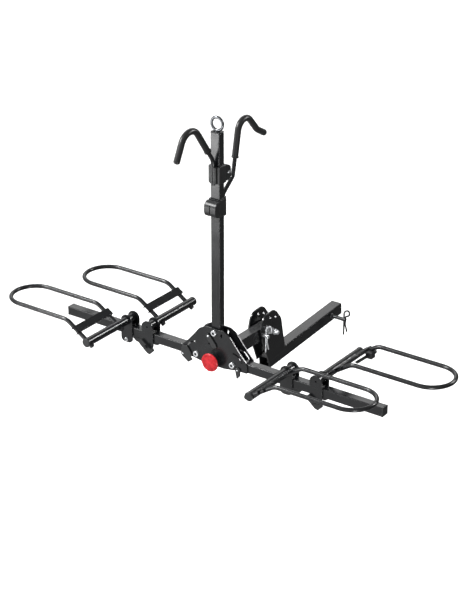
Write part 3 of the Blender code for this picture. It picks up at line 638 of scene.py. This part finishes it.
# %% Foot nuts
# From the tube's middle, down the slope of the rod.
NUT_DOWN = 24.5 * MM


def scatter_tree():
    """Copies of one object on the points of a mesh."""
    tree, given = start_tree(
        "scatter",
        [
            ("Instance", "NodeSocketObject", None),
            ("Turn", "NodeSocketRotation", None),
            ("Material", "NodeSocketMaterial", None),
        ],
    )
    info = add(tree, "GeometryNodeObjectInfo", {"Object": given["Instance"]})
    placed = add(
        tree,
        "GeometryNodeInstanceOnPoints",
        {
            "Points": given["Geometry"],
            "Instance": info.outputs["Geometry"],
            "Rotation": given["Turn"],
        },
    )
    return end_tree(tree, placed.outputs[0], given)


SCATTER = scatter_tree()


def turned(name, profile, steps=32, place=None):
    """A turned solid about Z from (radius, height) points, from its top down its outer side."""
    shape = bmesh.new()
    verts = [shape.verts.new((radius, 0, height)) for radius, height in profile]
    edges = [shape.edges.new(pair) for pair in zip(verts, verts[1:])]
    bmesh.ops.spin(
        shape,
        geom=verts + edges,
        cent=(0, 0, 0),
        axis=(0, 0, 1),
        angle=2 * math.pi,
        steps=steps,
        use_merge=True,
    )
    bmesh.ops.remove_doubles(shape, verts=shape.verts, dist=0.00001)
    bmesh.ops.recalc_face_normals(shape, faces=shape.faces)
    made = solid(name, shape, place)
    smooth(made.data)
    return made


def hex_prism(across_flats, height, base=0.0):
    """A hexagonal prism along Z, its lower face at base."""
    shape = bmesh.new()
    radius = across_flats / math.sqrt(3)
    bmesh.ops.create_cone(
        shape, cap_ends=True, segments=6, radius1=radius, radius2=radius, depth=height
    )
    bmesh.ops.translate(shape, verts=shape.verts, vec=(0, 0, base + height / 2))
    return solid("hex", shape)


def scattered(name, spots, instance, way, material):
    """Copies of an object at points, its Z turned to one way, as one mesh."""
    mesh = bpy.data.meshes.new(name + "_points")
    mesh.from_pydata([tuple(spot) for spot in spots], [], [])
    bpy.context.scene.collection.objects.link(instance)
    turn = Vector(way).to_track_quat("Z", "Y").to_euler()
    sizes = {"Instance": instance, "Turn": turn, "Material": material}
    made = run_tree(name, mesh, SCATTER, sizes)
    bpy.data.objects.remove(instance, do_unlink=True)
    return made


for holder in HOLDERS:
    facts, slope = HOOP_FACTS[holder]
    foot = Vector((facts["x"], 0, facts["tube_z"])) - slope * NUT_DOWN
    collar = turned("collar", [(0, 6 * MM), (10 * MM, 6 * MM), (10 * MM, 0), (0, 0)])
    nut = joined("foot_nut", [collar, hex_prism(18.5 * MM, 5 * MM, 0.5 * MM)], 0.5)
    bpy.context.scene.collection.objects.unlink(nut)
    spots = [foot + Vector((0, y, 0)) for y in facts["rods"]]
    nuts = scattered(holder + "_foot_nuts", spots, nut, slope, FINISHES["powder_coat"])
    place_piece(nuts, holder + "_holder", "powder_coat")
print("foot nuts under", len(HOLDERS), "tubes")

# %% [markdown]
# ## Hooks and their sleeves
#
# A hook presses a bicycle's frame down. It is the same bent rod, with a thick rubber sleeve pushed over its
# outer stretch so that it doesn't mark paint. The sleeve follows the rod's own bends and ends in a soft
# dome. The foot stands where the frame's box has it, and the other corners are distances from it.

# %% Hooks
SLEEVE = 25 * MM
HOOK_ROD = 16 * MM
# The rolled edge at the sleeve's open end, as (radius, height).
LIP = [(0, 3), (14.2, 3), (14.2, -1), (12, -3), (0, -3)]
LIP = [(radius * MM, height * MM) for radius, height in LIP]


def cut_path(corners, start):
    """The corners of a path from a distance along it to its end, the first one a plain end."""
    spots = [Vector(corner[:3]) for corner in corners]
    walked = 0.0
    for index, (here, there) in enumerate(zip(spots, spots[1:])):
        step = (there - here).length
        if walked + step > start:
            first = here + (there - here) * (start - walked) / step
            return [(*first, 0)] + corners[index + 1 :]
        walked += step
    return corners


def dome(spot, way, radius):
    """A half ball with a rounded shoulder, closing a sleeve's end."""
    angles = [math.pi / 2 * n / 10 for n in range(11)]
    profile = [(radius * math.sin(angle), radius * 0.7 * math.cos(angle)) for angle in angles]
    profile += [(radius, -1 * MM), (0, -1 * MM)]
    return turned("dome", profile, 24, stood(spot, way))


def make_hook(name, body, corners, sleeve_from):
    """A hook's rod, and the sleeve that covers it from a distance along it to its tip."""
    rod = bent_rod(name + "_rod", corners, HOOK_ROD, FINISHES["powder_coat"], 24)
    place_piece(rod, body, "powder_coat")
    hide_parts(name)
    covered = cut_path(corners, sleeve_from)
    sleeve = bent_rod(name + "_sleeve_wall", covered, SLEEVE, FINISHES["grip_rubber"], 28)
    tip, before = Vector(covered[-1][:3]), Vector(covered[-2][:3])
    end = dome(tip, tip - before, SLEEVE / 2)
    lip_way = Vector(covered[1][:3]) - Vector(covered[0][:3])
    lip = turned("lip", LIP, place=stood(covered[0][:3], lip_way))
    whole = joined(name + "_sleeve", [sleeve, end, lip], 0, FINISHES["grip_rubber"])
    place_piece(whole, body, "grip_rubber")
    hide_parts(name + "_grip")


MAST_LOW, MAST_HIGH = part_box("mast")
MAST_X = (MAST_LOW.x + MAST_HIGH.x) / 2
MAST_Y = (MAST_LOW.y + MAST_HIGH.y) / 2


def hook_corners(name, foot_y, points):
    """Hook corners from distances: out from the mast's middle, and up from the hook's foot."""
    low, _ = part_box(name)
    foot = (MAST_X, MAST_Y + foot_y, low.z, 0)
    return [foot] + [
        (MAST_X, MAST_Y + y * MM, low.z + z * MM, bend * MM) for y, z, bend in points
    ]


FRONT_CORNERS = [(-27, 96, 50), (-175, 302, 57), (-246, 157, 0)]
REAR_CORNERS = [(34, 76, 25), (98, 128, 30), (148, 388, 45), (254, 269, 40), (300, 243, 0)]
front = hook_corners("front_hook", -27 * MM, FRONT_CORNERS)
make_hook("front_hook", "front_hook_slider", front, 152 * MM)
rear = hook_corners("rear_hook", 34 * MM, REAR_CORNERS)
make_hook("rear_hook", "rear_hook_slider", rear, 232 * MM)
print("hooks with sleeves", round(SLEEVE / MM), "mm across")

# %% [markdown]
# ## Spring clips
#
# Each pin is kept by an R-clip: spring wire with one straight leg through the pin, a round loop above, and
# a second leg that waves round the pin's outside. The same bent rod makes it, from the box of the CAD clip.

# %% Clips
LOOP = 11.5 * MM
LOOP_TURN = math.radians(40)
# From the pin's middle down to the end of the straight leg.
LEG = 70 * MM


def spring_clip(node, pin, material, wire=5.6 * MM):
    """An R-clip across the Y-Z plane. pin is the diameter of the pin that it grips."""
    low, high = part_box(node)
    x, y, z = (low.x + high.x) / 2, low.y + 1.7 * MM, low.z + LEG
    side = (pin + wire) / 2 + 0.3 * MM
    across, out = 2 * LOOP * math.sin(LOOP_TURN), 2 * LOOP * math.cos(LOOP_TURN)
    corners = [
        (x, y, z - LEG, 0),
        (x, y, z + 38 * MM, LOOP),
        (x + across, y + out, z + 38 * MM, LOOP),
        (x + across, y + out, z + 14 * MM, 6 * MM),
        (x, y + side, z + 8 * MM, 5 * MM),
        (x, y + side, z - 8 * MM, 6 * MM),
        (x, y + 1.4 * wire, z - 26 * MM, 12 * MM),
        (x, y + 3.4 * wire, z - 66 * MM, 0),
    ]
    clip = bent_rod(node + "_wire", corners, wire, material, 14)
    place_piece(clip, BODY_OF[node], SLOTS[node], material)
    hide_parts(node)


spring_clip("hitch_pin_clip", 15.9 * MM, DARK_WIRE, 7.2 * MM)
spring_clip("tilt_pin_clip", 12.3 * MM, FINISHES["zinc_chrome"])
bpy.data.objects["hitch_pin_finished"].data.materials[0] = DARK_WIRE
print("two spring clips")

# %% [markdown]
# ## The eye bolt
#
# A forged eye on top of the mast. A torus and a turned collar with a shank make it, in chrome. The photo's
# ring is a little wider than the frame's box, which EYE_EXTRA allows for.

# %% Eye bolt
def torus(radius, wire, spot):
    """A ring standing in the X-Z plane."""
    profile = bmesh.new()
    bmesh.ops.create_circle(profile, segments=18, radius=wire)
    bmesh.ops.rotate(profile, verts=profile.verts, matrix=Matrix.Rotation(math.pi / 2, 3, "X"))
    bmesh.ops.translate(profile, verts=profile.verts, vec=(radius, 0, 0))
    everything = profile.verts[:] + profile.edges[:]
    bmesh.ops.spin(
        profile,
        geom=everything,
        cent=(0, 0, 0),
        axis=(0, 0, 1),
        angle=2 * math.pi,
        steps=56,
        use_merge=True,
    )
    bmesh.ops.remove_doubles(profile, verts=profile.verts, dist=0.00001)
    bmesh.ops.rotate(profile, verts=profile.verts, matrix=Matrix.Rotation(math.pi / 2, 3, "X"))
    bmesh.ops.recalc_face_normals(profile, faces=profile.faces)
    return solid("torus", profile, Matrix.Translation(spot))


EYE_LOW, EYE_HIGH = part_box("eye_bolt")
CAP_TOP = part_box("mast_cap")[1].z
EYE_WIRE = 5.6 * MM
EYE_EXTRA = 2.0 * MM
EYE_RADIUS = (EYE_HIGH.x - EYE_LOW.x) / 2 + EYE_EXTRA - EYE_WIRE
EYE_MIDDLE = Vector((MAST_X, MAST_Y, EYE_HIGH.z - EYE_WIRE - EYE_RADIUS))
seat = CAP_TOP + 0.3 * MM
ring_foot = EYE_MIDDLE.z - EYE_RADIUS
neck = [(0, ring_foot + 2 * MM), (5 * MM, ring_foot + 1 * MM)]
neck += [(5.2 * MM, seat + 6.5 * MM), (8.4 * MM, seat + 5.6 * MM), (9 * MM, seat + 4.6 * MM)]
neck += [(9 * MM, seat), (4.9 * MM, seat), (4.9 * MM, EYE_LOW.z), (0, EYE_LOW.z)]
collar = turned("collar", neck, 40, Matrix.Translation((MAST_X, MAST_Y, 0)))
ring = torus(EYE_RADIUS, EYE_WIRE, EYE_MIDDLE)
eye = joined("eye_bolt_forged", [ring, collar], 0, CHROME)
place_piece(eye, "mast", "zinc_chrome", CHROME)
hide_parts("eye_bolt")
print("eye", round(2 * EYE_RADIUS / MM, 1), "mm across its middle line")

# %% [markdown]
# ## Reflector lens
#
# A retroreflector is a honeycomb of corner cubes under a clear face. From outside it reads as a fine grid
# of cells that catch light one by one. A Geometry Nodes tree lays hexagonal studs over a disc in staggered
# rows: a grid of points, every other row moved half a step, and those beyond the rim deleted.

# %% Lens
def lens_tree():
    """Small hexagonal studs in staggered rows over a disc."""
    tree, given = start_tree(
        "lens_cells",
        [
            ("Radius", "NodeSocketFloat", 0.033),
            ("Pitch", "NodeSocketFloat", 0.004),
            ("Height", "NodeSocketFloat", 0.0012),
            ("Material", "NodeSocketMaterial", None),
        ],
    )
    pitch = given["Pitch"]
    width = add(tree, "ShaderNodeMath", {0: given["Radius"], 1: 2.2}, operation="MULTIPLY")
    count = add(tree, "ShaderNodeMath", {0: width.outputs[0], 1: pitch}, operation="DIVIDE")
    whole = add(tree, "FunctionNodeFloatToInt", {0: count.outputs[0]}, rounding_mode="CEILING")
    grid = add(
        tree,
        "GeometryNodeMeshGrid",
        {
            "Size X": width.outputs[0],
            "Size Y": width.outputs[0],
            "Vertices X": whole.outputs[0],
            "Vertices Y": whole.outputs[0],
        },
    )
    index = add(tree, "GeometryNodeInputIndex")
    parity = add(tree, "ShaderNodeMath", {0: index.outputs[0], 1: 2.0}, operation="MODULO")
    shift = add(tree, "ShaderNodeMath", {0: parity.outputs[0], 1: pitch}, operation="MULTIPLY")
    half = add(tree, "ShaderNodeMath", {0: shift.outputs[0], 1: 0.5}, operation="MULTIPLY")
    offset = add(tree, "ShaderNodeCombineXYZ", {"X": half.outputs[0]})
    moved = add(
        tree,
        "GeometryNodeSetPosition",
        {"Geometry": grid.outputs["Mesh"], "Offset": offset.outputs[0]},
    )
    place = add(tree, "GeometryNodeInputPosition")
    reach = add(tree, "ShaderNodeVectorMath", {0: place.outputs[0]}, operation="LENGTH")
    beyond = add(
        tree,
        "FunctionNodeCompare",
        {0: reach.outputs["Value"], 1: given["Radius"]},
        operation="GREATER_THAN",
    )
    inside = add(
        tree,
        "GeometryNodeDeleteGeometry",
        {"Geometry": moved.outputs[0], "Selection": beyond.outputs["Result"]},
    )
    size = add(tree, "ShaderNodeMath", {0: pitch, 1: 0.52}, operation="MULTIPLY")
    stud = add(
        tree,
        "GeometryNodeMeshCone",
        {
            "Vertices": 6,
            "Radius Top": 0.0004,
            "Radius Bottom": size.outputs[0],
            "Depth": given["Height"],
        },
    )
    placed = add(
        tree,
        "GeometryNodeInstanceOnPoints",
        {"Points": inside.outputs[0], "Instance": stud.outputs["Mesh"]},
    )
    return end_tree(tree, placed.outputs[0], given)


LENS_LOW, LENS_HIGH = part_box("reflector_lens")
LENS_MIDDLE = (LENS_LOW + LENS_HIGH) / 2
dressed("reflector_lens", 0.4)
cells = run_tree(
    "reflector_cells",
    bpy.data.meshes.new("none"),
    lens_tree(),
    {
        "Radius": (LENS_HIGH.x - LENS_LOW.x) / 2 - 3.5 * MM,
        "Pitch": 4.2 * MM,
        "Height": 1.0 * MM,
        "Material": FINISHES["red_lens"],
    },
)
FACING_FRONT = Matrix.Rotation(math.pi / 2, 4, "X")
lens_face = Matrix.Translation((LENS_MIDDLE.x, LENS_LOW.y + 0.1 * MM, LENS_MIDDLE.z))
cells.data.transform(lens_face @ FACING_FRONT)
place_piece(cells, BODY_OF["reflector_lens"], "red_lens")
print(len(cells.data.polygons), "faces in the lens's cells")

# %% [markdown]
# ## Painted shade for bolt sockets and saddle holes
#
# The camera sees the ends of the bolts. A socket-head cap screw is a bright cylinder with a hexagonal well
# that lies in shade. A thin dark hexagon is painted shade for each well, and for the hole in two of the saddles'
# plates.

# %% Sockets
FRONT = (0, -1, 0)
WELL_SHARE = 0.42


def paint_socket_shade(node):
    """Painted shade: a dark hexagon on the front of a bolt's head, where its well would be in shade."""
    low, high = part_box(node)
    middle = (low + high) / 2
    socket_shade_hex = hex_prism(WELL_SHARE * (high.x - low.x), 0.5 * MM, -0.2 * MM)
    socket_shade_hex.matrix_world = stood((middle.x, low.y, middle.z), FRONT)
    made = joined(node + "_well", [socket_shade_hex], 0, HOLE_SHADE_PAINT)
    place_piece(made, BODY_OF[node], SLOTS[node], HOLE_SHADE_PAINT)
    print(node, "head", round((high.x - low.x) / MM, 1), "mm across")


for node in ("mast_bolt", "left_arm_bolt", "right_arm_bolt", "left_front_clamp_bolt"):
    paint_socket_shade(node)
for holder in HOLDERS[1:]:
    bpy.data.objects[holder + "_clamp_bolt_finished"].data.materials[0] = DARK_WIRE
# Painted shade: a dark hexagon on each rear saddle's plate, where a hole would be in shade.
for holder in ("left_rear", "right_rear"):
    low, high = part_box(holder + "_saddle")
    tube_low, tube_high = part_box(holder + "_tube")
    saddle_shade_disc = hex_prism(8 * MM, 0.4 * MM, -0.2 * MM)
    spot = ((low.x + high.x) / 2, low.y, (tube_low.z + tube_high.z) / 2)
    saddle_shade_disc.matrix_world = Matrix.Translation(spot) @ FACING_FRONT
    saddle_hole_paint = joined(holder + "_saddle_hole", [saddle_shade_disc], 0, HOLE_SHADE_PAINT)
    place_piece(saddle_hole_paint, holder + "_holder", "powder_coat", HOLE_SHADE_PAINT)

# %% [markdown]
# ## Small bolt heads
#
# The levers turn on plated rivets, and the front release is held by one more. Each is a low dome, and so is
# the dark collar where the hitch pin leaves the shank.

# %% Rivets
def button(name, node, spot, way, radius, material=FINISHES["zinc_chrome"]):
    """A low domed head on a piece, at a point of its surface."""
    profile = [(0, 0.5 * radius), (0.5 * radius, 0.42 * radius), (0.85 * radius, 0.2 * radius)]
    profile += [(radius, 0), (radius, -0.5 * MM), (0, -0.5 * MM)]
    head = turned(name, profile, 24, stood(spot, way))
    made = joined(name, [head], 0, material)
    return place_piece(made, BODY_OF[node], "zinc_chrome", material)


for joint_name, node in (
    ("left_lock_turn", "left_arm_lever"),
    ("right_lock_turn", "right_arm_lever"),
    ("mast_lock_turn", "mast_lock_lever"),
):
    pivot = Vector(JOINTS[joint_name]["pos_m"])
    button(node + "_rivet", node, (pivot.x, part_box(node)[0].y, pivot.z), FRONT, 4 * MM)
RIGHT = (1, 0, 0)
SHANK_SIDE = 25.4 * MM
low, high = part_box("front_release")
middle = (low + high) / 2
button("release_rivet", "front_release", (high.x, middle.y, middle.z), RIGHT, 5.5 * MM)
spot = (SHANK_SIDE + 0.6 * MM, 0, 0)
button("hitch_pin_collar", "hitch_pin", spot, RIGHT, 12.5 * MM, DARK_WIRE)
print("rivets on three levers and one release, and the pin's collar")

# %% [markdown]
# ## Welds
#
# Each ear is welded to the shank along its foot. The bead is a row of overlapping drops, as the welder
# works along in small steps, so it is an instance on each of a row of points.

# %% Weld beads
RISE = math.radians(4.28)
# The bead's two ends along Y, and how far it lies below the shank's upper edge.
WELD_ENDS = (-0.474, -0.357)
WELD_DOWN = 11 * MM


def weld(name, start, end, body, size=4.2 * MM, step=3.0 * MM):
    """A bead from start to end: one small ball at every step."""
    start, end = Vector(start), Vector(end)
    count = round((end - start).length / step)
    spots = [start.lerp(end, n / count) for n in range(count + 1)]
    shape = bmesh.new()
    bmesh.ops.create_icosphere(shape, subdivisions=2, radius=size)
    bead = scattered(name, spots, solid("drop", shape), end - start, FINISHES["powder_coat"])
    return place_piece(bead, body, "powder_coat")


for node, side in (("ear_left", -1), ("ear_right", 1)):
    low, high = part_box(node)
    x = (low.x if side < 0 else high.x) - side * 4.5 * MM
    start, end = (
        (x, y, y * math.tan(RISE) + SHANK_SIDE / math.cos(RISE) - WELD_DOWN) for y in WELD_ENDS
    )
    weld(node + "_weld", start, end, "hitch")
print("two welds on the shank")

# %% [markdown]
# ## Stage and lamps
#
# A pale floor far below the rack, a pale world, and large soft lamps, so that the black steel shows its
# form by broad highlights. The camera sees an even white room, while the steel sees one that is brighter on
# its left and front.

# %% Stage
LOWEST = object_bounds()[0][2]
FLOOR_DROP = 1.2
FLOOR_HALF = 30
ground = bpy.data.meshes.new("floor")
corners = [(x * FLOOR_HALF, y * FLOOR_HALF, 0) for x, y in ((-1, -1), (1, -1), (1, 1), (-1, 1))]
ground.from_pydata(corners, [], [(0, 1, 2, 3)])
ground.transform(Matrix.Translation((0, 0, LOWEST - FLOOR_DROP)))
floor = bpy.data.objects.new("floor", ground)
bpy.context.scene.collection.objects.link(floor)
floor.data.materials.append(finish("pale_floor", "#f1f1f1", "#f6f6f6", (0.8, 0.9), 8.0, 0.01))
floor.visible_glossy = False
floor.visible_diffuse = False
floor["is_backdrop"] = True

world = bpy.data.worlds.new("pale_room")
world.use_nodes = True
sky = world.node_tree
room = sky.nodes["Background"]
room.inputs["Color"].default_value = (1, 1, 1, 1)
way = add(sky, "ShaderNodeTexCoord").outputs["Generated"]
toward = add(sky, "ShaderNodeVectorMath", {0: way, 1: (-0.5, -0.8, 0.0)}, operation="DOT_PRODUCT")
level = map_range(sky, toward.outputs["Value"], (-1.0, 1.0), (0.10, 0.74))
sky.links.new(level.outputs["Result"], room.inputs["Strength"])
backdrop = add(sky, "ShaderNodeBackground", {"Color": (1, 1, 1, 1), "Strength": 1.0})
seen = add(sky, "ShaderNodeLightPath").outputs["Is Camera Ray"]
either = add(sky, "ShaderNodeMixShader", {0: seen, 1: room.outputs[0], 2: backdrop.outputs[0]})
sky.links.new(either.outputs[0], sky.nodes["World Output"].inputs["Surface"])
bpy.context.scene.world = world


def softbox(name, spot, aim, size, watts):
    """A soft lamp that the camera doesn't see."""
    lamp = bpy.data.lights.new(name, "AREA")
    lamp.shape = "RECTANGLE"
    lamp.size, lamp.size_y = size
    lamp.energy = watts
    obj = bpy.data.objects.new(name, lamp)
    obj.location = spot
    obj.rotation_euler = (Vector(aim) - Vector(spot)).to_track_quat("-Z", "Y").to_euler()
    obj.visible_camera = False
    bpy.context.scene.collection.objects.link(obj)


CENTRE = Vector((0, -0.78, 0.5))
softbox("back_left", (-3.4, 3.2, 3.2), CENTRE, (4.2, 2.2), 48)
softbox("key_left", (-2.5, -2.7, 3.4), CENTRE, (1.0, 0.7), 190)
softbox("back_right", (2.4, 2.4, 2.6), CENTRE, (0.8, 0.8), 90)
softbox("front_low", (-1.75, -3.3, 0.05), CENTRE + Vector((0, 0, 0.2)), (1.4, 0.9), 32)
softbox("right_low", (2.3, -2.5, -0.7), CENTRE, (0.5, 1.2), 40)
print("a floor, a room and five lamps")

# %% [markdown]
# ## Daylight
#
# One wide sun from the left and front gives the long faces an even light. It is left out of reflections,
# where only the lamps and the room should show.

# %% Daylight
sun = bpy.data.lights.new("sun", "SUN")
sun.energy = 4.6
sun.angle = math.radians(70)
daylight = bpy.data.objects.new("sun", sun)
daylight.rotation_euler = Vector((0.45, 0.65, -0.75)).to_track_quat("-Z", "Y").to_euler()
daylight.visible_glossy = False
bpy.context.scene.collection.objects.link(daylight)
print("sun at", sun.energy, "watts per square metre")

# %% [markdown]
# ## Camera
#
# The camera stands where the photographer stood. Its place, turn and lens were found from the straight
# edges in the photo, so the render and the photo can be laid over each other.

# %% Camera
lens_data = bpy.data.cameras.new("camera")
lens_data.lens = 109.78
lens_data.sensor_width = 36
camera = bpy.data.objects.new("camera", lens_data)
camera.location = (3.751, -5.894, 3.318)
camera.rotation_euler = Vector((-0.5292, 0.7359, -0.4225)).to_track_quat("-Z", "Y").to_euler()
bpy.context.scene.collection.objects.link(camera)
bpy.context.scene.camera = camera
bpy.context.scene.view_settings.view_transform = "Standard"
bpy.context.view_layer.update()
print("camera", [round(v, 3) for v in camera.location])

# %% [markdown]
# ## Measure and finish
#
# The finished rack should fill the CAD box and pass it by less than a millimetre.

# %% Finish
FINISHED_BOX = [list(corner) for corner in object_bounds()]
for name, (low, high) in (("CAD", CAD_BOX), ("finished", FINISHED_BOX)):
    print(name, [round((b - a) / MM, 1) for a, b in zip(low, high)], "mm")
